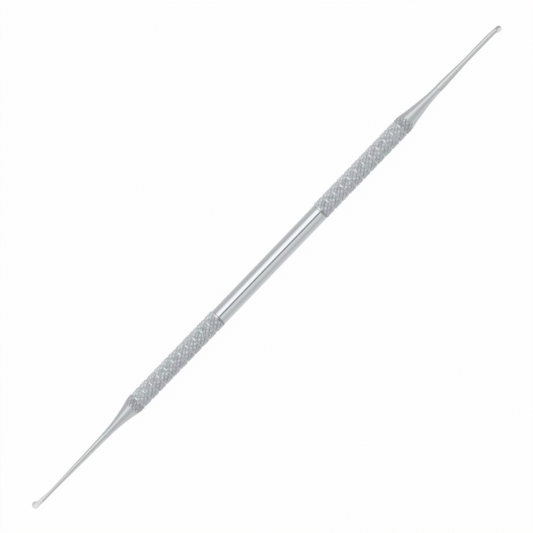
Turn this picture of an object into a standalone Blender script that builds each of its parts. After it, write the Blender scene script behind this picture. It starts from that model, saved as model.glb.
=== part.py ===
"""Double-ended pedicure curette: a plain barrel, two knurled grips and two scoop-shaped working tips.

The tool lies along X with the larger scoop at -X. The origin is under the middle of the whole length,
on the surface that the tool lies on. Lengths are in metres.
"""

import math
from types import SimpleNamespace

import bmesh
import bpy

# Barrel: the plain tube in the middle
barrel_diameter = 0.0045
barrel_length = 0.0370
barrel_bore = 0.0031
barrel_chamfer = 0.00012

# Grips, alike at both ends but for their cones
grip_diameter = 0.0049
grip_length = 0.0301
grip_chamfer = 0.00020
spigot_length = 0.0080
spigot_chamfer = 0.00040

# Ring grooves round the grips, counted from the barrel
first_groove_distance = 0.00285
groove_pitch = 0.00259
groove_width = 0.00035
groove_depth = 0.00028
groove_flank = 0.00005

# Diamond knurl between the grooves
knurl_starts = 13
knurl_depth = 0.00025
knurl_row_spacing = 0.00075
knurl_runout = 0.0016

# Cones from the grips down to the noses
large_cone_length = 0.0108
large_nose_diameter = 0.00180
small_cone_length = 0.0122
small_nose_diameter = 0.00188
nose_chamfer = 0.00006
cone_curve_share = 1.55
cone_rings = 12

# Tangs of the working tips, and the play in their sockets and in the barrel's bore
tang_diameter = 0.00100
tang_length = 0.0060
tang_chamfer = 0.00015
seat_gap = 0.0001

# Larger working tip: its reach is from the nose to the end of the cup
large_reach = 0.0254
large_waist_diameter = 0.00090
large_end_diameter = 0.00085
large_hold_share = 0.02
large_waist_share = 0.86
large_neck_length = 0.0034
large_neck_width = 0.00100
large_neck_thickness = 0.00050
large_cup_diameter = 0.00188
large_cup_depth = 0.00055
large_cup_lip = 0.00008
large_hollow_depth = 0.00030
large_cup_height = 0.00070
large_cup_shift = 0.00041
large_cup_lean = math.radians(12.0)

# Smaller working tip
small_reach = 0.0221
small_waist_diameter = 0.00118
small_end_diameter = 0.00126
small_hold_share = 0.16
small_waist_share = 0.62
small_neck_length = 0.0026
small_neck_width = 0.00112
small_neck_thickness = 0.00110
small_cup_diameter = 0.00150
small_cup_depth = 0.00128
small_cup_lip = 0.00008
small_hollow_depth = 0.00060
small_cup_height = 0.00075
small_cup_shift = 0.0
small_cup_lean = math.radians(-60.0)

# Neck where a shank meets its cup: where its middle lies under the rim and beside the shank's axis,
# and how far it runs on under the cup
neck_middle_share = 0.50
neck_shift_share = 0.50
neck_fade_share = 0.40
neck_end_share = 0.74

# Fineness of the round forms
turned_sides = 2 * knurl_starts
tip_sides = 20
cup_sides = 28
cup_rings = 7
neck_rings = 6
merge_distance = 0.000001

# Sizes that follow from the ones above
barrel_radius = barrel_diameter / 2
bore_radius = barrel_bore / 2
grip_radius = grip_diameter / 2
spigot_radius = bore_radius - seat_gap
tang_radius = tang_diameter / 2
socket_radius = tang_radius + seat_gap
socket_depth = tang_length + seat_gap
half_side = math.pi / turned_sides
axis_height = grip_radius * math.cos(half_side)
grip_start = barrel_length / 2 + seat_gap
large_span = grip_start + grip_length + large_cone_length + seat_gap + large_reach
small_span = grip_start + grip_length + small_cone_length + seat_gap + small_reach
barrel_middle = (large_span - small_span) / 2

large_end = SimpleNamespace(
    side=-1,
    cone_length=large_cone_length,
    nose_diameter=large_nose_diameter,
    reach=large_reach,
    waist_diameter=large_waist_diameter,
    end_diameter=large_end_diameter,
    hold_share=large_hold_share,
    waist_share=large_waist_share,
    neck_length=large_neck_length,
    neck_width=large_neck_width,
    neck_thickness=large_neck_thickness,
    cup_diameter=large_cup_diameter,
    cup_depth=large_cup_depth,
    cup_lip=large_cup_lip,
    hollow_depth=large_hollow_depth,
    cup_height=large_cup_height,
    cup_shift=large_cup_shift,
    cup_roll=-large_cup_lean,
)
small_end = SimpleNamespace(
    side=1,
    cone_length=small_cone_length,
    nose_diameter=small_nose_diameter,
    reach=small_reach,
    waist_diameter=small_waist_diameter,
    end_diameter=small_end_diameter,
    hold_share=small_hold_share,
    waist_share=small_waist_share,
    neck_length=small_neck_length,
    neck_width=small_neck_width,
    neck_thickness=small_neck_thickness,
    cup_diameter=small_cup_diameter,
    cup_depth=small_cup_depth,
    cup_lip=small_cup_lip,
    hollow_depth=small_hollow_depth,
    cup_height=small_cup_height,
    cup_shift=small_cup_shift,
    cup_roll=math.pi - small_cup_lean,
)


def clear_scene():
    for thing in list(bpy.data.objects):
        bpy.data.objects.remove(thing, do_unlink=True)


def new_collection(name):
    collection = bpy.data.collections.new(name)
    bpy.context.scene.collection.children.link(collection)
    return collection


def steel(name, colour, roughness):
    material = bpy.data.materials.new(name)
    material.use_nodes = True
    shader = material.node_tree.nodes["Principled BSDF"]
    shader.inputs["Base Color"].default_value = (*colour, 1.0)
    shader.inputs["Metallic"].default_value = 1.0
    shader.inputs["Roughness"].default_value = roughness
    return material


def turned(name, outline, sides, collection, closed=False):
    """Turn an outline of (radius, height) points round local Z, with a flat side facing local X."""
    turn = math.pi / sides
    points = [(radius * math.cos(turn), radius * math.sin(turn), height) for radius, height in outline]
    edges = [(index, index + 1) for index in range(len(points) - 1)]
    if closed:
        edges.append((len(points) - 1, 0))
    mesh = bpy.data.meshes.new(name)
    mesh.from_pydata(points, edges, [])
    piece = bpy.data.objects.new(name, mesh)
    collection.objects.link(piece)
    screw = piece.modifiers.new("turn", "SCREW")
    screw.steps = sides
    screw.render_steps = sides
    screw.use_merge_vertices = True
    screw.merge_threshold = merge_distance
    return piece


def settle(piece):
    """Swap an outline and its Screw for the turned mesh, so that its points can be moved."""
    evaluated = piece.evaluated_get(bpy.context.evaluated_depsgraph_get())
    mesh = bpy.data.meshes.new_from_object(evaluated)
    piece.modifiers.clear()
    piece.data = mesh
    return mesh


def smooth(piece, angle):
    piece.data.shade_smooth()
    piece.data.set_sharp_from_angle(angle=angle)


def place(piece, parent, distance, side, roll=0.0):
    """Lay local Z along the tool, out towards one side (-1 or +1), after a roll about the tool's axis."""
    piece.parent = parent
    piece.rotation_mode = "YXZ"
    piece.rotation_euler = (roll, side * math.pi / 2, 0.0)
    piece.location = (side * distance, 0.0, 0.0)


def make_barrel(collection, axis):
    half = barrel_length / 2
    outline = [
        (bore_radius + barrel_chamfer, half),
        (barrel_radius - barrel_chamfer, half),
        (barrel_radius, half - barrel_chamfer),
        (barrel_radius, barrel_chamfer - half),
        (barrel_radius - barrel_chamfer, -half),
        (bore_radius + barrel_chamfer, -half),
        (bore_radius, barrel_chamfer - half),
        (bore_radius, half - barrel_chamfer),
    ]
    barrel = turned("barrel", outline, turned_sides, collection, closed=True)
    settle(barrel)
    smooth(barrel, math.radians(30.0))
    place(barrel, axis, 0.0, 1)
    return barrel


def outer_radius(height, end):
    """Radius of a grip's outside: the full grip, then a hollow-sided cone down to the nose."""
    nose_radius = end.nose_diameter / 2
    share = min(1.0, (grip_length + end.cone_length - height) / end.cone_length)
    return nose_radius + (grip_radius - nose_radius) * share ** cone_curve_share


def band_rows(start, stop):
    """Heights of the knurl's rows between two places on the grip, evenly spaced and ends included."""
    count = max(1, round((stop - start) / knurl_row_spacing))
    return [start + (stop - start) * index / count for index in range(count + 1)]


def grip_rings(end):
    """Rings of a grip's outside from the barrel out, each with its height, radius and knurl row or None."""
    rings = [(0.0, grip_radius - grip_chamfer, None)]
    row = 0
    band_start = grip_chamfer
    groove = first_groove_distance
    while groove + groove_width < grip_length:
        groove_start = groove - groove_width / 2
        groove_end = groove + groove_width / 2
        for height in band_rows(band_start, groove_start):
            rings.append((height, grip_radius, row))
            row += 1
        rings.append((groove_start + groove_flank, grip_radius - groove_depth, None))
        rings.append((groove_end - groove_flank, grip_radius - groove_depth, None))
        band_start = groove_end
        groove += groove_pitch
    knurl_end = grip_length + knurl_runout
    for height in band_rows(band_start, knurl_end):
        rings.append((height, outer_radius(height, end), row))
        row += 1
    nose = grip_length + end.cone_length
    cone_rest = nose - nose_chamfer - knurl_end
    for index in range(1, cone_rings + 1):
        height = knurl_end + cone_rest * index / cone_rings
        rings.append((height, outer_radius(height, end), None))
    rings.append((nose, end.nose_diameter / 2 - nose_chamfer, None))
    return rings


def press_knurl(mesh, rings):
    """Sink every other point of the knurled rows, and join the sunk points by V-shaped valleys."""
    shape = bmesh.new()
    shape.from_mesh(mesh)
    valleys = set()
    for vertex in shape.verts:
        radius = math.hypot(vertex.co.x, vertex.co.y)
        height = vertex.co.z
        nearest = min(rings, key=lambda ring: abs(ring[0] - height) + abs(ring[1] - radius))
        row = nearest[2]
        column = round(math.atan2(vertex.co.y, vertex.co.x) / (2 * half_side) - 0.5)
        if row is None or (row + column) % 2 == 0:
            continue
        valleys.add(vertex)
        vertex.co.xy *= min(radius, grip_radius - knurl_depth) / radius
    for face in list(shape.faces):
        sunk = [vertex for vertex in face.verts if vertex in valleys]
        if len(face.verts) == 4 and len(sunk) == 2:
            bmesh.utils.face_split(face, sunk[0], sunk[1])
    shape.to_mesh(mesh)
    shape.free()


def make_grip(name, end, collection, axis):
    """A grip as one turned piece: socket, nose, cone, knurled grip, shoulder and spigot."""
    rings = grip_rings(end)
    nose = grip_length + end.cone_length
    outline = [
        (0.0, nose - socket_depth),
        (socket_radius, nose - socket_depth),
        (socket_radius, nose),
    ]
    outline += [(radius, height) for height, radius, row in reversed(rings)]
    outline += [
        (spigot_radius, 0.0),
        (spigot_radius, spigot_chamfer - spigot_length),
        (spigot_radius - spigot_chamfer, -spigot_length),
        (0.0, -spigot_length),
    ]
    grip = turned(name, outline, turned_sides, collection)
    press_knurl(settle(grip), rings)
    smooth(grip, math.radians(24.0))
    place(grip, axis, grip_start, end.side)
    return grip


def cap_ball(rim_radius, depth):
    """Radius of the ball that a round cap is cut from, and how far the ball's centre lies over the rim."""
    ball_radius = (rim_radius ** 2 + depth ** 2) / (2 * depth)
    return ball_radius, ball_radius - depth


def cup_outline(end):
    """Half the section of a solid cap of a ball, flat on top, with its rim at height zero."""
    ball_radius, centre = cap_ball(end.cup_diameter / 2, end.cup_depth)
    rim_angle = math.atan2(end.cup_diameter / 2, centre)
    outline = [(0.0, 0.0)]
    for index in range(cup_rings + 1):
        angle = rim_angle * (1 - index / cup_rings)
        outline.append((ball_radius * math.sin(angle), centre - ball_radius * math.cos(angle)))
    return outline


def tip_outline(end, neck_start, near_rim):
    """Outline of a working tip before its neck is shaped, from its far end down to the tang."""
    end_radius = end.end_diameter / 2
    fade_start = near_rim + neck_fade_share * end.cup_diameter / 2
    fade_length = (neck_end_share - neck_fade_share) * end.cup_diameter / 2
    outline = []
    for index in range(neck_rings):
        angle = math.pi / 2 * index / neck_rings
        outline.append((end_radius * math.sin(angle), fade_start + fade_length * math.cos(angle)))
    outline.append((end_radius, fade_start))
    for index in range(neck_rings + 1):
        outline.append((end_radius, near_rim + (neck_start - near_rim) * index / neck_rings))
    outline += [
        (end.waist_diameter / 2, neck_start * end.waist_share),
        (end.nose_diameter / 2, neck_start * end.hold_share),
        (end.nose_diameter / 2 - nose_chamfer, 0.0),
        (tang_radius, 0.0),
        (tang_radius, tang_chamfer - tang_length),
        (tang_radius - tang_chamfer, -tang_length),
        (0.0, -tang_length),
    ]
    return outline


def shape_neck(mesh, end, neck_start, near_rim):
    """Flatten, widen, lift and shift the far end of a shank, from the start of its neck to the near rim."""
    thickness = end.neck_thickness / end.end_diameter
    width = end.neck_width / end.end_diameter
    middle = end.cup_height - neck_middle_share * end.cup_depth
    shift = neck_shift_share * end.cup_shift
    for vertex in mesh.vertices:
        share = (vertex.co.z - neck_start) / (near_rim - neck_start)
        share = min(1.0, max(0.0, share))
        share = share * share * (3 - 2 * share)
        vertex.co.x = vertex.co.x * (1 + share * (thickness - 1)) + share * middle
        vertex.co.y = vertex.co.y * (1 + share * (width - 1)) + share * shift


def add_boolean(piece, helper, operation):
    """Join or cut a piece with a helper solid, which stays hidden and moves with the piece."""
    helper.parent = piece
    helper.hide_render = True
    helper.display_type = "WIRE"
    boolean = piece.modifiers.new(helper.name, "BOOLEAN")
    boolean.operation = operation
    boolean.object = helper


def make_tip(name, end, collection, helpers, axis):
    """A working tip: tang, tapered shank, shaped neck and a round cup that opens towards local X."""
    rim_radius = end.cup_diameter / 2
    ball_radius, ball_over_rim = cap_ball(rim_radius, end.cup_depth)
    widest_radius = rim_radius if ball_over_rim > 0.0 else ball_radius
    cup_centre = end.reach - widest_radius
    near_rim = cup_centre - widest_radius
    neck_start = near_rim - end.neck_length
    tip = turned(name, tip_outline(end, neck_start, near_rim), tip_sides, collection)
    shape_neck(settle(tip), end, neck_start, near_rim)
    smooth(tip, math.radians(35.0))

    bowl = turned(name + "_bowl", cup_outline(end), cup_sides, helpers)
    settle(bowl)
    smooth(bowl, math.radians(35.0))
    bowl.rotation_euler = (0.0, math.pi / 2, 0.0)
    bowl.location = (end.cup_height, end.cup_shift, cup_centre)
    add_boolean(tip, bowl, "UNION")

    hollow_radius, hollow_over_rim = cap_ball(rim_radius - end.cup_lip, end.hollow_depth)
    hollow_mesh = bpy.data.meshes.new(name + "_hollow")
    ball = bmesh.new()
    bmesh.ops.create_uvsphere(ball, u_segments=cup_sides, v_segments=cup_sides // 2, radius=hollow_radius)
    ball.to_mesh(hollow_mesh)
    ball.free()
    hollow = bpy.data.objects.new(name + "_hollow", hollow_mesh)
    helpers.objects.link(hollow)
    hollow.data.shade_smooth()
    hollow.location = (end.cup_height + hollow_over_rim, end.cup_shift, cup_centre)
    add_boolean(tip, hollow, "DIFFERENCE")

    place(tip, axis, grip_start + grip_length + end.cone_length + seat_gap, end.side, end.cup_roll)
    return tip


clear_scene()
parts = new_collection("pedicure_curette")
cutters = new_collection("cutters")

tool_axis = bpy.data.objects.new("tool_axis", None)
tool_axis.location = (barrel_middle, 0.0, axis_height)
parts.objects.link(tool_axis)

polished_steel = steel("polished_steel", (0.72, 0.74, 0.75), 0.14)
knurled_steel = steel("knurled_steel", (0.60, 0.62, 0.64), 0.30)
satin_steel = steel("satin_steel", (0.68, 0.69, 0.70), 0.26)

barrel_piece = make_barrel(parts, tool_axis)
barrel_piece.data.materials.append(polished_steel)
for grip_name, grip_end in (("large_end_grip", large_end), ("small_end_grip", small_end)):
    grip_piece = make_grip(grip_name, grip_end, parts, tool_axis)
    grip_piece.data.materials.append(knurled_steel)
for tip_name, tip_end in (("large_scoop", large_end), ("small_scoop", small_end)):
    tip_piece = make_tip(tip_name, tip_end, parts, cutters, tool_axis)
    tip_piece.data.materials.append(satin_steel)
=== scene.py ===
# %% [markdown]
# # A double-ended curette in polished, knurled and satin steel
#
# The packed model gives the places and sizes: five pieces of turned and ground steel on one axis along X.
# This script makes each of them again as a fine mesh, gives it a steel finish and sets up a small studio.
# Lengths are in metres.

# %% Load the packed model
import math
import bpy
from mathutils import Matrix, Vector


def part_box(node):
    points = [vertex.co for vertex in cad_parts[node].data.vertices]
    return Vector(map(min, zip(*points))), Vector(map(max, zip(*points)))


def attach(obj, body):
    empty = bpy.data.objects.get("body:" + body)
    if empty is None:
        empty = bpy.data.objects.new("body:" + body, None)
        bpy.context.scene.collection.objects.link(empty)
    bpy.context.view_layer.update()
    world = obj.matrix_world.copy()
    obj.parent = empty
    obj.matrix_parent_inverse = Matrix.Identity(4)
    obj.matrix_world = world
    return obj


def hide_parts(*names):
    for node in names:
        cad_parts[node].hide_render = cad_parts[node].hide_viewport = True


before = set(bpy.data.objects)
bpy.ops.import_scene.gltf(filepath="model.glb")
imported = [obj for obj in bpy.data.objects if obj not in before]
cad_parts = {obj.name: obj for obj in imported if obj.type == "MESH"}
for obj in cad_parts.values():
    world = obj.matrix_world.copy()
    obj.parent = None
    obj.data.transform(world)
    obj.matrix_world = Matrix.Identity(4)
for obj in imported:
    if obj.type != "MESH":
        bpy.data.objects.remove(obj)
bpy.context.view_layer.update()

from types import SimpleNamespace

import bmesh
import bpy
from mathutils import Matrix, noise

millimetre = 0.001

# %% [markdown]
# ## Where things are
#
# The real tool is turned on one axis, so one height and a few distances place everything. They could be
# typed in, but then a change of size in the packed model would pull the pieces apart. So they are read
# from it: the axis lies at half of the barrel's height, and distances are counted from the barrel's
# middle.
#
# The photograph corrects three of them by up to a quarter of a millimetre. The barrel's middle lies a
# little towards the large end, each grip starts a little nearer to it, and both grips sit slightly off the
# barrel's axis. Where two pieces butt, the packed model keeps a seat gap, and the fine ones close it to a
# hairline.

# %% Read the tool's axis and its main places from the packed model
barrel_low, barrel_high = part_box("barrel")
large_grip_low, large_grip_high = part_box("large_end_grip")
small_grip_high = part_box("small_end_grip")[1]
large_tip_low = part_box("large_scoop")[0]
small_tip_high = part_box("small_scoop")[1]

middle_shift = -0.07 * millimetre
joint_lead = 0.25 * millimetre
grip_offset = 0.10 * millimetre
seat_gap = 0.1 * millimetre
joint_hairline = 0.02 * millimetre
nose_hairline = 0.004 * millimetre

axis_height = (barrel_low.z + barrel_high.z) / 2
barrel_middle = (barrel_low.x + barrel_high.x) / 2 + middle_shift
barrel_length = barrel_high.x - barrel_low.x
barrel_radius = (barrel_high.y - barrel_low.y) / 2
grip_radius = (large_grip_high.y - large_grip_low.y) / 2
grip_distance = barrel_length / 2 + seat_gap - joint_lead
print("axis height, mm:", round(axis_height / millimetre, 4))
print("from the barrel's middle to a grip, mm:", round(grip_distance / millimetre, 3))

# %% [markdown]
# ## The camera
#
# The photograph looks straight down on the tool, which lies corner to corner. The camera could sit close
# with a wide lens, but then it would see the ends of the tool at a slant. It hangs about four tool lengths
# away, and is turned about the vertical by the slope of the tool. The lens follows from the size of one
# pixel at the height of the tool's axis.

# %% Hang the camera over the tool
image_pixels = 533
pixel_size = 0.2506 * millimetre
tool_slope = math.radians(46.12)
camera_distance = 0.67
aim_offset = 0.22 * millimetre

camera_data = bpy.data.cameras.new("camera")
camera_data.sensor_width = 36.0
camera_data.lens = camera_data.sensor_width * camera_distance / (image_pixels * pixel_size)
camera = bpy.data.objects.new("camera", camera_data)
camera.location = (0.0, aim_offset, axis_height + camera_distance)
camera.rotation_euler = (0.0, 0.0, -tool_slope)
bpy.context.scene.collection.objects.link(camera)
bpy.context.scene.camera = camera
bpy.context.scene.view_settings.view_transform = "Standard"
print("lens, mm:", round(camera_data.lens, 1))

# %% [markdown]
# ## Shader maths in Python
#
# Steel is drawn with many small sums: masks, ramps and noises that shift colour and roughness by a few
# hundredths. They could be wired up node by node, but then one short sum takes a dozen lines. A Wire is
# one output of a node. Python's own signs work on it, and each sign adds one Math node, so that a sum
# reads as it would on paper.

# %% Wrap a socket
class Wire:
    """One output of a node. Sums and products of wires and numbers give new wires."""

    def __init__(self, board, socket):
        self.board = board
        self.socket = socket

    def output(self, name):
        return Wire(self.board, self.socket.node.outputs[name])

    def maths(self, operation, first, second=0.0, clamp=False):
        settings = {"operation": operation, "use_clamp": clamp}
        return self.board.node("ShaderNodeMath", settings, {0: first, 1: second})

    def __add__(self, other):
        return self.maths("ADD", self, other)

    def __radd__(self, other):
        return self.maths("ADD", other, self)

    def __sub__(self, other):
        return self.maths("SUBTRACT", self, other)

    def __rsub__(self, other):
        return self.maths("SUBTRACT", other, self)

    def __mul__(self, other):
        return self.maths("MULTIPLY", self, other)

    def __rmul__(self, other):
        return self.maths("MULTIPLY", other, self)

    def __truediv__(self, other):
        return self.maths("DIVIDE", self, other)

    def __rtruediv__(self, other):
        return self.maths("DIVIDE", other, self)

    def __pow__(self, other):
        return self.maths("POWER", self, other)

    def __abs__(self):
        return self.maths("ABSOLUTE", self)

    def clamped(self):
        return self.maths("ADD", self, 0.0, clamp=True)

    def above(self, edge, softness):
        """0 below an edge and 1 above it, with a soft step between."""
        return ((self - (edge - softness / 2)) / softness).clamped()

    def between(self, low, high):
        """A value that goes from low to high while this one goes from 0 to 1."""
        return low + (high - low) * self

    def faded_to(self, other, share):
        """This value where the share is 0, and the other one where it is 1."""
        return self * (1 - share) + other * share


print("steps of a wire:", [name for name in vars(Wire) if not name.startswith("_")])

# %% [markdown]
# ## A board for nodes
#
# A node needs its kind, its settings, its ramp's stops and what its sockets are fed with. One method takes
# all of these for any node, which keeps the materials short. Noise gets a helper of its own, because
# scratches on steel are noise that is drawn out along one direction.

# %% Wrap a node tree
noise_detail = 3.0


class Board:
    """A node tree, with one method that adds any node."""

    def __init__(self, tree):
        self.tree = tree
        tree.nodes.clear()

    def feed(self, socket, value):
        if isinstance(value, Wire):
            self.tree.links.new(value.socket, socket)
        else:
            socket.default_value = value

    def node(self, kind, settings=None, inputs=None, stops=None):
        node = self.tree.nodes.new(kind)
        for name, value in (settings or {}).items():
            setattr(node, name, value)
        if stops:
            ramp = node.color_ramp
            while len(ramp.elements) < len(stops):
                ramp.elements.new(1.0)
            for element, (position, colour) in zip(ramp.elements, stops):
                element.position = position
                element.color = colour
        for name, value in (inputs or {}).items():
            self.feed(node.inputs[name], value)
        if not node.outputs:
            return node
        return Wire(self, next(socket for socket in node.outputs if socket.enabled))

    def object_position(self):
        return self.node("ShaderNodeTexCoord").output("Object")

    def split(self, vector):
        parts = self.node("ShaderNodeSeparateXYZ", inputs={0: vector})
        return parts.output("X"), parts.output("Y"), parts.output("Z")

    def stretched_noise(self, position, grains):
        """Noise from 0 to 1, with (grains per metre along X, grains per metre across it)."""
        along, across = grains
        stretched = self.node(
            "ShaderNodeVectorMath", {"operation": "MULTIPLY"}, {0: position, 1: (along, across, across)}
        )
        inputs = {"Vector": stretched, "Scale": 1.0, "Detail": noise_detail}
        return self.node("ShaderNodeTexNoise", {}, inputs)

    def blend(self, share, first, second):
        """Blend of two colours."""
        mix = self.node("ShaderNodeMix", {"data_type": "RGBA"}, {0: share, 6: first, 7: second})
        return Wire(self, mix.socket.node.outputs[2])


print("helpers of a board:", [name for name in vars(Board) if not name.startswith("_")])

# %% [markdown]
# ## Light for polished steel
#
# The polished barrel is a mirror, so its stripes are a picture of the studio. From its upper edge to the
# lower one they are: grey, a broad white stripe, a hair-thin dark line on top, and greys again. The white
# stripe is a long soft light high on one side, and the greys are the rest of the white room.
#
# Area lamps could make these stripes, but each would need a place, a size and a power of its own. Here the
# room is a world, and its light is a list of (lean, light), where the lean is the angle from straight up
# in degrees, positive towards -Y. The barrel mirrors the middle of the room, the cones mirror its ends,
# and the steep flanks of the knurl mirror its end walls, so there are three lists. Most of the room is a
# little darker than white, and a steel comes out darker than its written colour by as much.

# %% List the light from one side of the room to the other
bands_over_middle = [
    (-180, 0.55),
    (-100, 0.50),
    (-84, 0.54),
    (-68, 0.66),
    (-54, 0.94),
    (-42, 1.20),
    (-28, 1.25),
    (-12, 1.20),
    (-5, 1.02),
    (5, 0.76),
    (12, 0.83),
    (26, 0.84),
    (40, 0.74),
    (54, 0.64),
    (68, 0.59),
    (84, 0.60),
    (100, 0.66),
    (180, 0.70),
]
bands_over_ends = [
    (-180, 0.60),
    (-110, 0.60),
    (-85, 0.58),
    (-67, 0.68),
    (-50, 0.92),
    (-38, 1.02),
    (-28, 1.00),
    (-18, 0.92),
    (-8, 0.75),
    (0, 0.65),
    (15, 0.63),
    (32, 0.58),
    (49, 0.60),
    (67, 0.72),
    (88, 0.82),
    (110, 0.86),
    (180, 0.80),
]
bands_over_walls = [
    (-180, 0.40),
    (-100, 0.52),
    (-68, 0.64),
    (-48, 0.90),
    (-36, 1.05),
    (-18, 1.00),
    (-8, 0.50),
    (2, 0.32),
    (20, 0.29),
    (90, 0.30),
    (180, 0.35),
]
for bands in (bands_over_middle, bands_over_ends, bands_over_walls):
    print("bands:", len(bands), " brightest light:", max(light for lean, light in bands))

# %% [markdown]
# ## The room
#
# A direction's own X, from 0 across the tool to 1 along it, tells which list counts, and a soft step leads
# from one list to the next. The part of the end towards +X that lies nearest the middle is a tenth
# brighter. The dark line on the barrel is the dark front of the camera, which looks down between the
# lights: a small dark patch overhead. Where the camera looks past the floor, it sees plain white.

# %% Build the room as a world
end_start = 0.08
end_fade = 0.06
wall_start = 0.78
wall_fade = 0.2
near_stop = 0.26
near_fade = 0.12
near_extra = 0.10
lens_lean = math.radians(0.8)
lens_half_width = math.radians(8.3)
lens_side_fade = math.radians(3.0)
lens_half_length = math.radians(5.0)
lens_end_fade = 0.03
lens_light = 0.25

world = bpy.data.worlds.new("room")
world.use_nodes = True
bpy.context.scene.world = world
room = Board(world.node_tree)
direction = room.node("ShaderNodeTexCoord").output("Generated")
toward_x, toward_y, toward_z = room.split(direction)
lean = toward_y.maths("ARCTAN2", toward_y * -1.0, toward_z)


def light_of(bands):
    """The light of a list of bands at the lean of the direction."""
    stops = [(angle / 360 + 0.5, (light, light, light, 1.0)) for angle, light in bands]
    ramp = room.node("ShaderNodeValToRGB", inputs={0: lean / (2 * math.pi) + 0.5}, stops=stops)
    return room.node("ShaderNodeSeparateColor", inputs={0: ramp})


sideways = abs(toward_x)
end_share = sideways.above(end_start, end_fade)
wall_share = sideways.above(wall_start, wall_fade)
near_share = toward_x.above(end_start, end_fade) * (1 - toward_x.above(near_stop, near_fade))
light_over_ends = light_of(bands_over_ends) * (1 + near_extra * near_share)
soft_light = light_of(bands_over_middle).faded_to(light_over_ends, end_share)
soft_light = soft_light.faded_to(light_of(bands_over_walls), wall_share)
over_lens = 1 - abs(lean - lens_lean).above(lens_half_width, lens_side_fade)
over_lens = over_lens * (1 - sideways.above(math.sin(lens_half_length), lens_end_fade))
studio_light = soft_light.faded_to(lens_light, over_lens)
seen = room.node("ShaderNodeLightPath").output("Is Camera Ray")
brightness = studio_light * (1 - seen) + seen
grey = room.node("ShaderNodeCombineColor", inputs={0: brightness, 1: brightness, 2: brightness})
background = room.node("ShaderNodeBackground", inputs={0: grey, 1: 1.0})
room.node("ShaderNodeOutputWorld", inputs={"Surface": background})
print("nodes in the room:", len(world.node_tree.nodes))

# %% [markdown]
# ## The floor
#
# The floor is plain and pale. A brighter lamp could bleach it, but would bleach the steel too. So its
# paint is a mix: what the camera sees of it, directly, is nearly pure white, and a small share of the
# surface that the room really lights keeps the tool's soft shadow. The steel mirrors the floor as well.
# More of the white is in the mirrored floor on the side towards -Y, and less of it farther away from the
# tool.

# %% Lay the floor under the tool
floor_size = 3.0
floor_height = axis_height - grip_radius
floor_grey = 0.76
floor_white_share = 0.97
floor_dull_share = 0.34
floor_bright_share = 0.56
floor_far_loss = 0.20
floor_turn = 0.004

floor_mesh = bpy.data.meshes.new("floor")
sheet = bmesh.new()
bmesh.ops.create_grid(sheet, x_segments=1, y_segments=1, size=floor_size)
bmesh.ops.translate(sheet, verts=sheet.verts, vec=(0.0, 0.0, floor_height))
sheet.to_mesh(floor_mesh)
sheet.free()
floor = bpy.data.objects.new("floor", floor_mesh)
bpy.context.scene.collection.objects.link(floor)

floor_paint = bpy.data.materials.new("pale_floor")
floor_paint.use_nodes = True
paint = Board(floor_paint.node_tree)
path = paint.node("ShaderNodeLightPath")
mirrored = (path.output("Is Glossy Ray") + path.output("Is Transmission Ray")).clamped()
floor_across = paint.split(paint.object_position())[1]
bright_side = (floor_across * -1.0).above(0.0, floor_turn)
far_side = abs(floor_across).above(2 * floor_turn, floor_turn)
mirrored_share = bright_side.between(floor_dull_share, floor_bright_share) - floor_far_loss * far_side
white_share = path.output("Is Camera Ray") * floor_white_share + mirrored * mirrored_share
lit = paint.node("ShaderNodeBsdfDiffuse", inputs={"Color": (floor_grey, floor_grey, floor_grey, 1.0)})
white = paint.node("ShaderNodeEmission", inputs={"Color": (1.0, 1.0, 1.0, 1.0), "Strength": 1.0})
surface = paint.node("ShaderNodeMixShader", inputs={0: white_share, 1: lit, 2: white})
paint.node("ShaderNodeOutputMaterial", inputs={"Surface": surface})
floor.data.materials.append(floor_paint)
print("floor height, mm:", round(floor_height / millimetre, 4))

# %% [markdown]
# ## Turning
#
# Nearly everything on this tool comes off a lathe. A turned piece could be a stack of cylinders and cones,
# but their seams would stay open. Here it is one line of points, each a distance along the axis and a
# radius, and a full spin about X. The end points on the axis are merged into one.

# %% Spin an outline about the tool's axis
tiny = 0.0005 * millimetre


def spin_outline(body, outline, sides):
    """Spin (distance, radius) points about X, and return the new points of the mesh."""
    before = set(body.verts)
    line = [body.verts.new((distance, 0.0, radius)) for distance, radius in outline]
    edges = [body.edges.new(pair) for pair in zip(line, line[1:])]
    bmesh.ops.spin(
        body, geom=line + edges, cent=(0.0, 0.0, 0.0), axis=(1.0, 0.0, 0.0), dvec=(0.0, 0.0, 0.0),
        angle=2 * math.pi, steps=sides, use_merge=True, use_duplicate=False,
    )
    on_axis = [point for point in body.verts if point not in before and point.co.yz.length < tiny]
    bmesh.ops.remove_doubles(body, verts=on_axis, dist=tiny)
    return [point for point in body.verts if point not in before]


print("points nearer than this are merged, mm:", tiny / millimetre)

# %% [markdown] ## From a mesh to a piece  A grip or a tip is made with its outer end towards +X and its
# zero at its joint, and the barrel with its zero in its middle. Its place could be set on the object, but
# moving the mesh keeps the object at the origin. A spin doesn't know which side is the outside, so the
# normals are worked out again first.

# %% Finish a piece and place it on the tool
lathe_sharp_angle = math.radians(30.0)
no_sharp_angle = math.pi


def along_tool(side, distance):
    """Place at a distance from the barrel's middle, towards the large end (-1) or the small one (1)."""
    turn = Matrix.Rotation(math.pi if side < 0 else 0.0, 4, "Z")
    return Matrix.Translation((barrel_middle + side * distance, 0.0, axis_height)) @ turn


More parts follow.
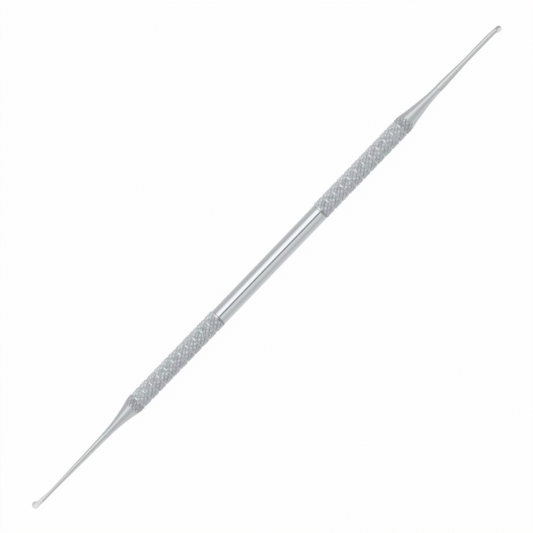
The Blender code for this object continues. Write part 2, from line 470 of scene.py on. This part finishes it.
def finish_piece(body, name, node, materials, place, sharp_angle):
    """Turn a bmesh into a piece that lies on the tool's axis and replaces a packed node."""
    bmesh.ops.recalc_face_normals(body, faces=body.faces)
    bmesh.ops.transform(body, matrix=place, verts=body.verts)
    mesh = bpy.data.meshes.new(name)
    body.to_mesh(mesh)
    body.free()
    mesh.shade_smooth()
    mesh.set_sharp_from_angle(angle=sharp_angle)
    for material in materials:
        mesh.materials.append(material)
    piece = bpy.data.objects.new(name, mesh)
    bpy.context.scene.collection.objects.link(piece)
    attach(piece, "root")
    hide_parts(node)
    return piece


print("edges sharper than this stay crisp, degrees:", round(math.degrees(lathe_sharp_angle)))

# %% [markdown]
# ## One recipe for every steel
#
# All pieces are the same stainless steel, so all finishes share one recipe: a fully metallic surface whose
# colour drifts a little from a pink grey to a green one, fine scratches that run one way, and a roughness
# of its own. A flat grey would look like paint, because real steel is never quite even. Both the drift and
# the scratches are noise, and both change the roughness. The scratches also tilt the normals by a Bump
# node.

# %% Write the recipe
cloud_grains = (240.0, 420.0)
noise_mean = 0.5


def steel_finish(name, colour, drift, roughness, roughness_drift, scratches, scratch_depth, marks=None):
    """A steel. Scratches are (grains per metre along X, grains per metre across it)."""
    material = bpy.data.materials.new(name)
    material.use_nodes = True
    board = Board(material.node_tree)
    position = board.object_position()
    clouds = board.stretched_noise(position, cloud_grains)
    lines = board.stretched_noise(position, scratches)
    red, green, blue = colour
    shades = [
        (0.40, (red + drift, green - drift, blue + drift / 2, 1.0)),
        (0.50, (red, green, blue, 1.0)),
        (0.60, (red - drift, green + drift, blue - drift / 2, 1.0)),
    ]
    tint = board.node("ShaderNodeValToRGB", inputs={0: clouds}, stops=shades)
    rough = roughness + (lines - noise_mean) * roughness_drift + (clouds - noise_mean) * roughness_drift
    if marks:
        tint, rough = marks(board, position, tint, rough)
    bump = board.node("ShaderNodeBump", {}, {"Strength": 1.0, "Distance": scratch_depth, "Height": lines})
    shader = board.node(
        "ShaderNodeBsdfPrincipled", {},
        {"Base Color": tint, "Metallic": 1.0, "Roughness": rough.clamped(), "Normal": bump},
    )
    board.node("ShaderNodeOutputMaterial", inputs={"Surface": shader})
    return material


print("the colour drifts in clouds of about", round(1 / cloud_grains[0] / millimetre, 1), "mm")

# %% [markdown]
# ## Wear and painted light on the knurl
#
# Fingers rub the blunt tips of a knurl bright. Besides that wear, the tips get a painted highlight and the
# valleys get painted shade, both stronger on the side towards -Y, and a painted highlight lies in blotches
# along the side towards +Y. The band beside the cone is seldom touched and stays darker all over. These
# marks could be painted on, but the shape knows them already: how deep a place lies under the full radius
# tells a tip from a valley. A mark is a function that gets the colour and the roughness and hands both back
# changed.

# %% Rub the tips, and paint highlights and shade on the knurl
knurl_depth = 0.25 * millimetre
wear_and_sheen_grains = (700.0, 700.0)
worn_length = 28.9 * millimetre
worn_fade = 0.3 * millimetre
wear_and_highlight_colour = (0.93, 0.950, 0.975, 1.0)
shade_and_unworn_colour = (0.44, 0.460, 0.485, 1.0)
side_highlight_share = 0.95
unworn_share = 0.50
valley_roughness = 0.10
tip_polish = 0.08


def knurl_wear_and_painted_light(board, position, colour, rough):
    """Tips rubbed bright and a dark unworn band; painted highlights on tips and along +Y, painted shade in
    valleys.
    """
    along, across, upward = board.split(position)
    across = across - grip_offset
    height = upward - axis_height
    radius = (across * across + height * height) ** 0.5
    sunk = ((grip_radius - radius) / knurl_depth).clamped()
    wear_and_sheen_blotches = board.stretched_noise(position, wear_and_sheen_grains).above(edge=0.5, softness=0.25)
    tips = (1 - sunk.above(edge=0.38, softness=0.35)) * wear_and_sheen_blotches.between(0.15, 1.0)
    # Painted light: the tips get a painted highlight and the valleys painted shade, both stronger towards
    # -Y.
    painted_light_side = 1 - (across / grip_radius).above(edge=0.1, softness=0.8)
    # Painted highlight in blotches along the side towards +Y.
    painted_highlight_side = (across / grip_radius).above(edge=0.70, softness=0.30) * wear_and_sheen_blotches.between(0.55, 1.0)
    valleys = sunk.above(edge=0.72, softness=0.40)
    unworn = (abs(along - barrel_middle) - grip_distance).above(worn_length, worn_fade)
    colour = board.blend(tips * painted_light_side.between(0.25, 0.45), colour, wear_and_highlight_colour)
    colour = board.blend(valleys * painted_light_side.between(0.30, 0.55), colour, shade_and_unworn_colour)
    colour = board.blend(painted_highlight_side * side_highlight_share, colour, wear_and_highlight_colour)
    colour = board.blend(unworn * unworn_share, colour, shade_and_unworn_colour)
    return colour, rough + valleys * valley_roughness - tips * tip_polish


print("worn up to this far from the joint, mm:", round(worn_length / millimetre, 1))

# %% [markdown]
# ## Painted shade on one side, and in flats
#
# The turned shoulders and the grooves get painted shade along the side towards -Y. The tips are ground by
# hand, and along them lie flats of painted shade, a little rougher than the rest. A flat could be cut into
# the mesh, but here only its shade is painted: it is the stretch of surface that faces one way, so the Y of
# the normal picks it out.

# %% Paint shade on one side, and in flats
flat_softness = 0.25
flat_roughness = 0.05
flat_shade_tint = (1.0, 1.01, 1.02)


def painted_side_shade(edge, softness, side_shade_colour, coarser):
    """Steel with painted shade on the side towards -Y, from an edge on, in shares of the grips' radius."""
    def marks(board, position, colour, rough):
        across = board.split(position)[1]
        side_shade = 1 - (across / grip_radius).above(edge, softness)
        return board.blend(side_shade, colour, side_shade_colour), rough + side_shade * coarser
    return marks


def painted_shade_flats(flats, dark):
    """Steel with flats of painted shade where the normal faces one way. Each flat is (place across, half
    width, share of its dark colour).
    """
    flat_shade_colour = tuple(dark * tint for tint in flat_shade_tint) + (1.0,)

    def marks(board, position, colour, rough):
        across = board.split(board.node("ShaderNodeNewGeometry").output("Normal"))[1]
        for place, half_width, share in flats:
            flat = 1 - abs(across - place).above(half_width, flat_softness)
            colour = board.blend(flat * share, colour, flat_shade_colour)
            rough = rough + flat * flat_roughness
        return colour, rough
    return marks


print("shades of a flat:", flat_shade_tint)

# %% [markdown]
# ## The steels of the barrel and the grips
#
# The barrel was polished lengthwise, so its lines run along X: few grains along it and many across. A
# lathe tool leaves rings instead, so on cones, shoulders and grooves there are many grains along X and few
# across. The knurl is coarse in all directions.

# %% Mix the turned steels
polishing_lines = (60.0, 9000.0)
turning_lines = (9000.0, 260.0)
knurl_grains = (5000.0, 5000.0)
by_lathe = {"roughness_drift": 0.06, "scratches": turning_lines, "scratch_depth": 0.00006 * millimetre}

polished_steel = steel_finish(
    "polished_steel", colour=(0.742, 0.768, 0.794), drift=0.010, roughness=0.11, roughness_drift=0.03,
    scratches=polishing_lines, scratch_depth=0.00002 * millimetre,
)
turned_steel = steel_finish(
    "turned_steel", colour=(0.695, 0.716, 0.736), drift=0.010, roughness=0.22, **by_lathe,
)
# The shoulders and the grooves get painted shade on the side towards -Y.
shoulder_steel = steel_finish(
    "shoulder_steel", colour=(0.820, 0.845, 0.865), drift=0.008, roughness=0.25, **by_lathe,
    marks=painted_side_shade(edge=0.02, softness=0.20, side_shade_colour=(0.49, 0.500, 0.505, 1.0), coarser=0.25),
)
ring_steel = steel_finish(
    "ring_steel", colour=(0.745, 0.772, 0.800), drift=0.012, roughness=0.27, **by_lathe,
    marks=painted_side_shade(edge=-0.15, softness=0.60, side_shade_colour=(0.665, 0.689, 0.713, 1.0), coarser=0.0),
)
knurled_steel = steel_finish(
    "knurled_steel", colour=(0.640, 0.667, 0.696), drift=0.013, roughness=0.40, roughness_drift=0.08,
    scratches=knurl_grains, scratch_depth=0.0004 * millimetre, marks=knurl_wear_and_painted_light,
)
print("materials so far:", [material.name for material in bpy.data.materials])

# %% [markdown]
# ## The steels of the tips
#
# The tips are satin: ground along their length, and only lightly polished. The scoops have the same grain
# in all directions. Flats of painted shade lie along the shanks and the backs of the scoops. Both tips
# could share one steel, but their flats lie in different places, so each has its own.

# %% Mix the ground steels
grinding_lines = (60.0, 5000.0)
scoop_grains = (1500.0, 1500.0)
by_wheel = {"roughness_drift": 0.08, "scratches": grinding_lines, "scratch_depth": 0.0001 * millimetre}
in_scoop = {"roughness_drift": 0.04, "scratches": scoop_grains, "scratch_depth": 0.00005 * millimetre}

large_satin_steel = steel_finish(
    "large_satin_steel", colour=(0.800, 0.808, 0.814), drift=0.008, roughness=0.27, **by_wheel,
    marks=painted_shade_flats([(-0.07, 0.28, 0.54)], dark=0.50),
)
small_satin_steel = steel_finish(
    "small_satin_steel", colour=(0.765, 0.773, 0.779), drift=0.006, roughness=0.27, **by_wheel,
    marks=painted_shade_flats([(-0.78, 0.30, 0.52), (0.80, 0.35, 0.18)], dark=0.50),
)
# The hollows are lighter than the satin, the smaller one nearly white: painted highlight for the light they
# catch.
large_hollow_steel = steel_finish(
    "large_hollow_steel", colour=(0.865, 0.870, 0.873), drift=0.004, roughness=0.50, **in_scoop,
)
small_hollow_steel = steel_finish(
    "small_hollow_steel", colour=(0.980, 0.985, 0.990), drift=0.004, roughness=0.35, **in_scoop,
)
back_steel = steel_finish(
    "back_steel", colour=(0.850, 0.855, 0.860), drift=0.006, roughness=0.42, roughness_drift=0.06,
    scratches=scoop_grains, scratch_depth=0.0001 * millimetre,
    marks=painted_shade_flats([(0.42, 0.30, 0.65)], dark=0.34),
)
print("materials in all:", len(bpy.data.materials))

# %% [markdown]
# ## The barrel
#
# The barrel is a plain tube with broken edges. A cylinder with a smaller one cut out of it would do, but a
# spun section has cleaner edges. The ring edges at both ends are bevelled, because a polished edge is
# round and catches the light. Rows of points along the tube keep its faces from being long slivers.

# %% Turn the barrel
barrel_bore_radius = 1.55 * millimetre
barrel_edge = 0.12 * millimetre
barrel_edge_room = 1.5 * barrel_edge
barrel_sides = 192
barrel_rows = 40

barrel_half = grip_distance - joint_hairline
plain_half = barrel_half - barrel_edge_room
bore = [(-barrel_half, barrel_bore_radius), (barrel_half, barrel_bore_radius)]
plain = [(plain_half * (1 - 2 * row / barrel_rows), barrel_radius) for row in range(barrel_rows + 1)]
outside = [(barrel_half, barrel_radius)] + plain + [(-barrel_half, barrel_radius)]
barrel_body = bmesh.new()
spin_outline(barrel_body, bore[1:] + outside + bore, barrel_sides)
bmesh.ops.remove_doubles(barrel_body, verts=barrel_body.verts, dist=tiny)


def is_end_ring(edge):
    """Whether an edge runs round the outside of an end."""
    first, second = edge.verts
    level = abs(first.co.x - second.co.x) < tiny and abs(first.co.yz.length - second.co.yz.length) < tiny
    return level and first.co.yz.length > barrel_bore_radius + tiny and abs(first.co.x) > barrel_half - tiny


end_rings = [edge for edge in barrel_body.edges if is_end_ring(edge)]
bmesh.ops.bevel(
    barrel_body, geom=end_rings, offset=barrel_edge, offset_type="OFFSET", affect="EDGES", segments=4,
    profile=0.5, material=-1,
)
barrel = finish_piece(
    barrel_body, "polished_barrel", "barrel", [polished_steel], along_tool(1, 0.0),
    lathe_sharp_angle,
)
print("barrel faces:", len(barrel.data.polygons))

# %% [markdown]
# ## The outline of a grip
#
# Each grip is one turned bar: a spigot that sits in the barrel, a long knurled stretch with eleven smooth
# ring grooves, a cone with hollow sides, and a socket for the tip in the cone's nose. One outline holds
# all of that, so that the grip is one closed surface.
#
# Where the knurl comes, the outline has a point for every fourteenth part of a diamond, because the knurl
# is pressed into these points later. The two cones aren't alike: one is longer, and their sides are
# hollowed by different powers of the distance.

# %% Draw the outline of a grip
grip_length = 30.28 * millimetre
spigot_length = 8.0 * millimetre
spigot_radius = barrel_bore_radius - seat_gap
spigot_edge = 0.40 * millimetre
ring_count = 11
first_ring_distance = 3.03 * millimetre
ring_pitch = 2.59 * millimetre
ring_width = 0.40 * millimetre
ring_depth = 0.20 * millimetre
ring_wall = 0.04 * millimetre
knurl_step = 1.47 * millimetre
points_per_diamond = 14
knurl_runout = 2.4 * millimetre
row_clearance = 0.2
cone_rows = 44
socket_radius = 0.60 * millimetre
socket_depth = 6.1 * millimetre
nose_edge = 0.008 * millimetre

large_nose_distance = barrel_middle - large_grip_low.x
small_nose_distance = small_grip_high.x - barrel_middle
large_cone = SimpleNamespace(
    side=-1,
    nose_distance=large_nose_distance,
    nose_from_joint=large_nose_distance - grip_distance,
    nose_radius=0.90 * millimetre,
    nose_offset=-0.03 * millimetre,
    curve=1.82,
    runout_share=0.36,
)
small_cone = SimpleNamespace(
    side=1,
    nose_distance=small_nose_distance,
    nose_from_joint=small_nose_distance - grip_distance,
    nose_radius=0.94 * millimetre,
    nose_offset=0.07 * millimetre,
    curve=1.58,
    runout_share=0.20,
)
ring_places = [first_ring_distance + ring_pitch * index for index in range(ring_count)]


def cone_radius(distance, cone):
    """Radius of a cone at a distance from the joint."""
    share = (cone.nose_from_joint - distance) / (cone.nose_from_joint - grip_length)
    return cone.nose_radius + (grip_radius - cone.nose_radius) * max(0.0, share) ** cone.curve


def band_rows(start, stop):
    """Rows of points from start to stop: both ends, and every step of the knurl well between them."""
    row_step = knurl_step / points_per_diamond
    first = math.ceil(start / row_step + row_clearance)
    last = math.floor(stop / row_step - row_clearance)
    return [start] + [index * row_step for index in range(first, last + 1)] + [stop]


def grip_outline(cone):
    """Outline of a grip from the end of its spigot out to its nose and back down into its socket."""
    outline = [
        (-spigot_length, 0.0),
        (-spigot_length, spigot_radius - spigot_edge),
        (spigot_edge - spigot_length, spigot_radius),
        (0.0, spigot_radius),
    ]
    band_start = 0.0
    for ring in ring_places:
        ring_start = ring - ring_width / 2
        ring_end = ring + ring_width / 2
        outline += [(distance, grip_radius) for distance in band_rows(band_start, ring_start)]
        outline.append((ring_start + ring_wall, grip_radius - ring_depth))
        outline.append((ring_end - ring_wall, grip_radius - ring_depth))
        band_start = ring_end
    knurl_end = grip_length + knurl_runout
    outline += [(distance, grip_radius) for distance in band_rows(band_start, knurl_end)]
    nose = cone.nose_from_joint
    cone_rest = nose - nose_edge - knurl_end
    for index in range(1, cone_rows + 1):
        distance = knurl_end + cone_rest * index / cone_rows
        outline.append((distance, cone_radius(distance, cone)))
    outline += [
        (nose, cone.nose_radius - nose_edge),
        (nose, socket_radius),
        (nose - socket_depth, socket_radius),
        (nose - socket_depth, 0.0),
    ]
    return outline


print("ring grooves:", len(ring_places), " points in an outline:", len(grip_outline(large_cone)))

# %% [markdown]
# ## The knurl
#
# A diamond knurl is rolled in by two wheels with slanted teeth, one left-handed and one right-handed. Each
# presses V-shaped valleys along a helix, and small pyramids with blunt tips stay between them. A bump in
# the material would give the sparkle, but the outline of the grip would stay smooth, so the valleys are
# pressed into the mesh. Each wheel is a zigzag wave, and of the two depths the larger one counts. A slow
# noise makes some diamonds deeper than others.
#
# A turned shoulder beside the joint has no knurl. Where the cone begins it dips under the knurl, so only
# the valleys stay, and they run out in points. There the knurl sinks with the cone by a share of its fall.

# %% Work out how deep the knurl is at a point
knurl_starts = 13
knurl_tip_share = 1 / 10
weaker_wheel_share = 0.85
depth_noise_size = 0.9 * millimetre
depth_noise_share = 0.35
band_edge = 0.13 * millimetre
shoulder_rows = 5
shoulder_length = shoulder_rows * knurl_step / points_per_diamond
shoulder_depth = 0.25 * millimetre
shoulder_fade = 0.15 * millimetre


def wheel_sink(distance, angle):
    """How far the wheels sink in at one place, from 0 on a blunt tip to 1 in a valley."""
    around = knurl_starts * angle / (2 * math.pi)
    along = distance / knurl_step
    weaker_wheel = abs(2 * ((around + along) % 1.0) - 1) * weaker_wheel_share
    stronger_wheel = abs(2 * ((around - along) % 1.0) - 1)
    sink = max(weaker_wheel, stronger_wheel)
    return max(0.0, sink - knurl_tip_share) / (1 - knurl_tip_share)


def knurl_sink(point):
    """How far the wheels sink in at a point of the mesh. They don't reach the shoulder."""
    sink = wheel_sink(point.co.x, math.atan2(point.co.y, point.co.z))
    return sink * min(1.0, max(0.0, (point.co.x - shoulder_length) / shoulder_fade))


def band_edge_sink(distance):
    """How far the broken edges of a band lie under the full radius."""
    edges = [ring + side * ring_width / 2 for ring in ring_places for side in (-1, 1)]
    nearest = min(abs(distance - edge) for edge in edges)
    return max(0.0, band_edge - nearest)


def depth_at(point, sink):
    """How far a point of the grip lies under its full radius."""
    distance = point.co.x
    shoulder = shoulder_depth * (1 - distance / shoulder_length)
    depth_share = 1 + depth_noise_share * noise.noise(point.co / depth_noise_size)
    return max(knurl_depth * sink * depth_share, band_edge_sink(distance), shoulder)


print("diamonds around a grip:", knurl_starts, " points around:", knurl_starts * points_per_diamond)

# %% [markdown]
# ## Pressing the knurl
#
# The outline is spun with as many points per diamond around as along. Every valley then runs corner to
# corner through the squares of the mesh, and splitting those squares along it keeps the valley sharp. Each
# face gets the number of its steel: knurl, turned cone, groove or shoulder.

# %% Press the knurl and split it along its valleys
grip_steels = [knurled_steel, turned_steel, ring_steel, shoulder_steel]
knurled_corners = 3


def press_knurl(body, cone):
    """Lower the points of a grip. Returns those in valleys, on the knurl and on the floors of the rings."""
    valleys = set()
    knurled = set()
    ring_floor = set()
    for point in body.verts:
        distance = point.co.x
        radius = point.co.yz.length
        if abs(radius - grip_radius + ring_depth) < tiny and distance < grip_length:
            ring_floor.add(point)
        if radius < grip_radius - tiny:
            continue
        sink = knurl_sink(point)
        pressed = grip_radius - depth_at(point, sink)
        lowered = pressed
        if distance > grip_length:
            turned = cone_radius(distance, cone)
            pressed -= cone.runout_share * (grip_radius - turned)
            lowered = min(pressed, turned)
        if lowered == pressed and distance > shoulder_length - tiny:
            knurled.add(point)
        if sink > 1 - knurl_tip_share / 2:
            valleys.add(point)
        point.co.yz = point.co.yz * (lowered / radius)
    return valleys, knurled, ring_floor


def number_steels(body, knurled, ring_floor):
    """Give every face of a grip the number of its steel. A knurled face keeps its first number, 0."""
    for face in body.faces:
        if all(point in ring_floor for point in face.verts):
            face.material_index = grip_steels.index(ring_steel)
        elif sum(point in knurled for point in face.verts) < knurled_corners:
            on_shoulder = face.calc_center_median().x < shoulder_length
            face.material_index = grip_steels.index(shoulder_steel if on_shoulder else turned_steel)


def split_valleys(body, valleys):
    """Split each square that a valley crosses from corner to corner."""
    for face in list(body.faces):
        sunk = [point for point in face.verts if point in valleys]
        if len(face.verts) != 4 or len(sunk) != 2:
            continue
        if not any(sunk[0] in edge.verts for edge in sunk[1].link_edges):
            bmesh.utils.face_split(face, sunk[0], sunk[1])


print("steels of a grip:", [steel.name for steel in grip_steels])

# %% [markdown]
# ## The grips
#
# On this tool the grips aren't quite in line with the barrel, and the noses of the cones not with the
# grips. The whole piece could be turned by an angle, but the spigot has to stay in the barrel's bore. So
# the points of a grip are shifted sideways, the nose by its own offset, and the spigot not at all.

# %% Make both grips
def shift_off_axis(body, cone):
    """Shift a grip off the axis, and its nose and socket by an offset of their own. The spigot stays."""
    for point in body.verts:
        radius = point.co.yz.length
        if point.co.x < tiny and radius < spigot_radius + tiny:
            continue
        share = min(1.0, max(0.0, (point.co.x - grip_length) / (cone.nose_from_joint - grip_length)))
        if point.co.x > grip_length and radius < socket_radius + tiny:
            share = 1.0
        point.co.y += cone.side * (grip_offset + (cone.nose_offset - grip_offset) * share)


def make_grip(name, node, cone):
    """A grip with its spigot, knurl, grooves, cone and socket."""
    body = bmesh.new()
    spin_outline(body, grip_outline(cone), knurl_starts * points_per_diamond)
    valleys, knurled, ring_floor = press_knurl(body, cone)
    number_steels(body, knurled, ring_floor)
    split_valleys(body, valleys)
    shift_off_axis(body, cone)
    place = along_tool(cone.side, grip_distance)
    grip = finish_piece(body, name, node, grip_steels, place, lathe_sharp_angle)
    print(name, "faces:", len(grip.data.polygons))


make_grip("large_end_knurled_grip", "large_end_grip", large_cone)
make_grip("small_end_knurled_grip", "small_end_grip", small_cone)

# %% [markdown]
# ## The shank of a tip
#
# Each tip is ground by hand from a round blank: a tang that sits in the cone, a slim shank, a neck and a
# little round scoop. It could be spun finely like the grips, but its far end isn't round, and a
# hand-ground form is smooth. So the shank is a coarse cage with Subdivision Surface on it: it is spun with
# few sides, and its far end is shaped into the neck.
#
# A subdivided ring shrinks: each point ends at four sixths of itself and a sixth of either neighbour. The
# share that is left depends only on the number of sides, so the spun forms are made larger by it first.

# %% Spin a shank and shape its neck
shank_sides = 18
neck_rows = 4
neck_shift_share = 0.28
tang_radius = 0.50 * millimetre
tang_length = 6.0 * millimetre
tang_edge = 0.15 * millimetre
shoulder_edge = 0.005 * millimetre


def ring_shrink(sides):
    """Share that is left of a ring's radius once it is subdivided."""
    return (4 + 2 * math.cos(2 * math.pi / sides)) / 6


def eased(share):
    """A share from 0 to 1 that starts and stops gently."""
    return share * share * (3 - 2 * share)


def shank_outline(shank, neck_start, neck_end):
    """Outline of a tip from the end of its tang to the open end of its neck."""
    first_radius = shank[0][1]
    last_radius = shank[-1][1]
    tang = [
        (-tang_length, 0.0),
        (-tang_length, tang_radius - tang_edge),
        (tang_edge - tang_length, tang_radius),
        (-shoulder_edge, tang_radius),
        (0.0, tang_radius),
    ]
    shoulder = [(0.0, first_radius - shoulder_edge), (shoulder_edge, first_radius)]
    neck = [
        (neck_start + (neck_end - neck_start) * (row / neck_rows), last_radius)
        for row in range(1, neck_rows + 1)
    ]
    return tang + shoulder + shank + neck


def add_shank(body, outline, cup, neck_start, neck_end):
    """A spun shank whose far end is flattened, widened, lifted and shifted into a neck, and left open."""
    points = spin_outline(body, outline, shank_sides)
    end_radius = outline[-1][1]
    grown = 1 / ring_shrink(shank_sides)
    bmesh.ops.scale(body, vec=(1.0, grown, grown), verts=points)
    wider = cup.neck_width / 2 / end_radius - 1
    thicker = cup.neck_thickness / 2 / end_radius - 1
    for point in points:
        share = eased(min(1.0, max(0.0, (point.co.x - neck_start) / (neck_end - neck_start))))
        point.co.y *= 1 + share * wider
        point.co.y += share * neck_shift_share * cup.shift
        point.co.z = point.co.z * (1 + share * thicker) + share * cup.neck_height


print("share of its radius that a shank keeps:", round(ring_shrink(shank_sides), 3))

# %% [markdown]
# ## The scoop of a tip
#
# The scoop is a little bowl. It could be cut out of two balls, but its rim has to be a clean ring of
# points, so it is spun from two arcs: the outside from its pole to the rim, and the hollow back from the
# rim to its own pole. The bowl then loses the few faces that look at the shank. That leaves a window, to
# which the open neck is bridged later, so that the back of the bowl flows into the neck.

# %% Spin a bowl and cut the window for the neck
bowl_sides = 20
window_sides = 6
outer_shares = (0.0, 0.24, 0.48, 0.72, 0.93, 1.0)
inner_shares = (1.0, 0.92, 0.68, 0.36, 0.0)
satin_number, hollow_number, back_number = range(3)


def cap_ball(rim_radius, depth):
    """Radius of the ball that a round cap is cut from, and how far its centre lies over the rim."""
    ball_radius = (rim_radius ** 2 + depth ** 2) / (2 * depth)
    return ball_radius, ball_radius - depth


def cap_points(rim_radius, depth, shares):
    """Points (height over the rim, radius) of a cap, at shares of the way from its pole to its rim."""
    ball_radius, centre = cap_ball(rim_radius, depth)
    rim_angle = math.atan2(rim_radius, centre)
    return [
        (centre - ball_radius * math.cos(rim_angle * share), ball_radius * math.sin(rim_angle * share))
        for share in shares
    ]


def add_bowl(body, cup, centre):
    """A bowl that opens upwards, with a window in its back that faces the shank."""
    outside = cap_points(cup.radius, cup.depth, outer_shares)
    inside = cap_points(cup.radius - cup.lip, cup.hollow_depth, inner_shares)
    window_low = outside[1][0]
    window_high = outside[-2][0]
    window_half = math.pi * window_sides / bowl_sides
    shank_faces = set(body.faces)
    shell = spin_outline(body, outside, bowl_sides)
    window = []
    for face in [face for face in body.faces if face not in shank_faces]:
        middle = face.calc_center_median()
        face.material_index = back_number if middle.x < window_high else hollow_number
        if abs(math.atan2(middle.y, middle.z)) < window_half and window_low < middle.x < window_high:
            window.append(face)
    bmesh.ops.delete(body, geom=window, context="FACES")
    other_faces = set(body.faces)
    hollow = spin_outline(body, [outside[-1]] + inside, bowl_sides)
    for face in [face for face in body.faces if face not in other_faces]:
        face.material_index = hollow_number
    points = [point for point in shell + hollow if point.is_valid]
    grown = 1 / ring_shrink(bowl_sides)
    bmesh.ops.scale(body, vec=(1.0, grown, grown), verts=points)
    upright = Matrix.Rotation(cup.neck_side, 4, "Z") @ Matrix.Rotation(-math.pi / 2, 4, "Y")
    place = Matrix.Translation((centre, cup.shift, cup.height)) @ upright
    bmesh.ops.transform(body, matrix=place, verts=points)
    bmesh.ops.remove_doubles(body, verts=points, dist=tiny)


print("share of its radius that a bowl keeps:", round(ring_shrink(bowl_sides), 3))

# %% [markdown]
# ## Joining shank and scoop
#
# The neck and the window are two open rings. Bridge Edge Loops joins them, and from then on the tip is one
# closed cage, which three levels of subdivision make smooth. The two could also be left apart and pushed
# into each other, but a crease would show. The tip leans about its own length and is turned by a hair
# sideways, as in the photograph.

# %% Build a tip from its shank and its cup
neck_clearance = 0.10 * millimetre
tip_levels = 3


def make_tip(name, node, cone, turn, reach, shank, cup, steels):
    """A working tip. The shank's outline goes from its shoulder out to the start of the neck."""
    body = bmesh.new()
    ball_radius, ball_over_rim = cap_ball(cup.radius, cup.depth)
    widest_radius = cup.radius if ball_over_rim > 0.0 else ball_radius
    cup_centre = reach - widest_radius
    neck_start = shank[-1][0]
    neck_end = cup_centre - widest_radius - neck_clearance
    add_shank(body, shank_outline(shank, neck_start, neck_end), cup, neck_start, neck_end)
    for face in body.faces:
        if face.calc_center_median().x > neck_end - cup.bright_neck:
            face.material_index = hollow_number
    add_bowl(body, cup, cup_centre)
    openings = [edge for edge in body.edges if edge.is_boundary]
    for face in bmesh.ops.bridge_loops(body, edges=openings)["faces"]:
        face.material_index = cup.bridge_number
    nose = along_tool(cone.side, cone.nose_distance + nose_hairline)
    place = Matrix.Translation((0.0, cone.nose_offset, 0.0)) @ nose
    place = place @ Matrix.Rotation(turn, 4, "Z") @ Matrix.Rotation(cup.lean, 4, "X")
    tip = finish_piece(body, name, node, steels, place, no_sharp_angle)
    fine = tip.modifiers.new("ground_smooth", "SUBSURF")
    fine.levels = tip_levels
    fine.render_levels = tip_levels
    print(name, "open edges bridged:", len(openings), " cage faces:", len(tip.data.polygons))


print("levels of subdivision on a tip:", tip_levels)

# %% [markdown]
# ## The larger tip
#
# The larger scoop is a shallow, nearly level dish that lies a little to one side. Its long shank tapers
# evenly, and hardly at all just before the neck. The shank's points are (distance from the nose, radius).

# %% Grind the larger tip
large_cup = SimpleNamespace(
    radius=0.94 * millimetre,
    depth=0.55 * millimetre,
    lip=0.08 * millimetre,
    hollow_depth=0.18 * millimetre,
    height=0.70 * millimetre,
    shift=-0.41 * millimetre,
    lean=math.radians(12.0),
    neck_width=1.20 * millimetre,
    neck_thickness=0.50 * millimetre,
    neck_height=0.42 * millimetre,
    neck_side=math.radians(-24.0),
    bright_neck=0.5 * millimetre,
    bridge_number=hollow_number,
)
large_shank = [
    (0.15 * millimetre, 0.897 * millimetre),
    (1.2 * millimetre, 0.860 * millimetre),
    (4.0 * millimetre, 0.785 * millimetre),
    (8.0 * millimetre, 0.690 * millimetre),
    (12.0 * millimetre, 0.595 * millimetre),
    (15.5 * millimetre, 0.500 * millimetre),
    (18.0 * millimetre, 0.455 * millimetre),
    (20.1 * millimetre, 0.440 * millimetre),
]
large_tip_turn = -0.001
large_reach = large_grip_low.x - large_tip_low.x - nose_hairline
make_tip(
    "large_scoop_tip", "large_scoop", large_cone, large_tip_turn, large_reach, large_shank, large_cup,
    [large_satin_steel, large_hollow_steel, back_steel],
)

# %% [markdown]
# ## The smaller tip
#
# The smaller scoop is a round bulb with a shallow hollow, and leans far over to its side, so the
# photograph shows its rim nearly edge on. Its shank is a waist: it narrows to the middle and then widens
# again a little.

# %% Grind the smaller tip
small_cup = SimpleNamespace(
    radius=0.75 * millimetre,
    depth=1.38 * millimetre,
    lip=0.08 * millimetre,
    hollow_depth=0.20 * millimetre,
    height=0.96 * millimetre,
    shift=0.0,
    lean=math.radians(64.0),
    neck_width=1.14 * millimetre,
    neck_thickness=1.14 * millimetre,
    neck_height=0.10 * millimetre,
    neck_side=0.0,
    bright_neck=0.0,
    bridge_number=satin_number,
)
small_shank = [
    (0.15 * millimetre, 0.955 * millimetre),
    (1.2 * millimetre, 0.975 * millimetre),
    (2.6 * millimetre, 0.940 * millimetre),
    (4.6 * millimetre, 0.850 * millimetre),
    (7.2 * millimetre, 0.730 * millimetre),
    (9.8 * millimetre, 0.600 * millimetre),
    (12.2 * millimetre, 0.615 * millimetre),
    (15.0 * millimetre, 0.645 * millimetre),
    (17.8 * millimetre, 0.630 * millimetre),
]
small_tip_turn = -0.0035
small_reach = small_tip_high.x - small_grip_high.x - nose_hairline
make_tip(
    "small_scoop_tip", "small_scoop", small_cone, small_tip_turn, small_reach, small_shank, small_cup,
    [small_satin_steel, small_hollow_steel, back_steel],
)

# %% [markdown]
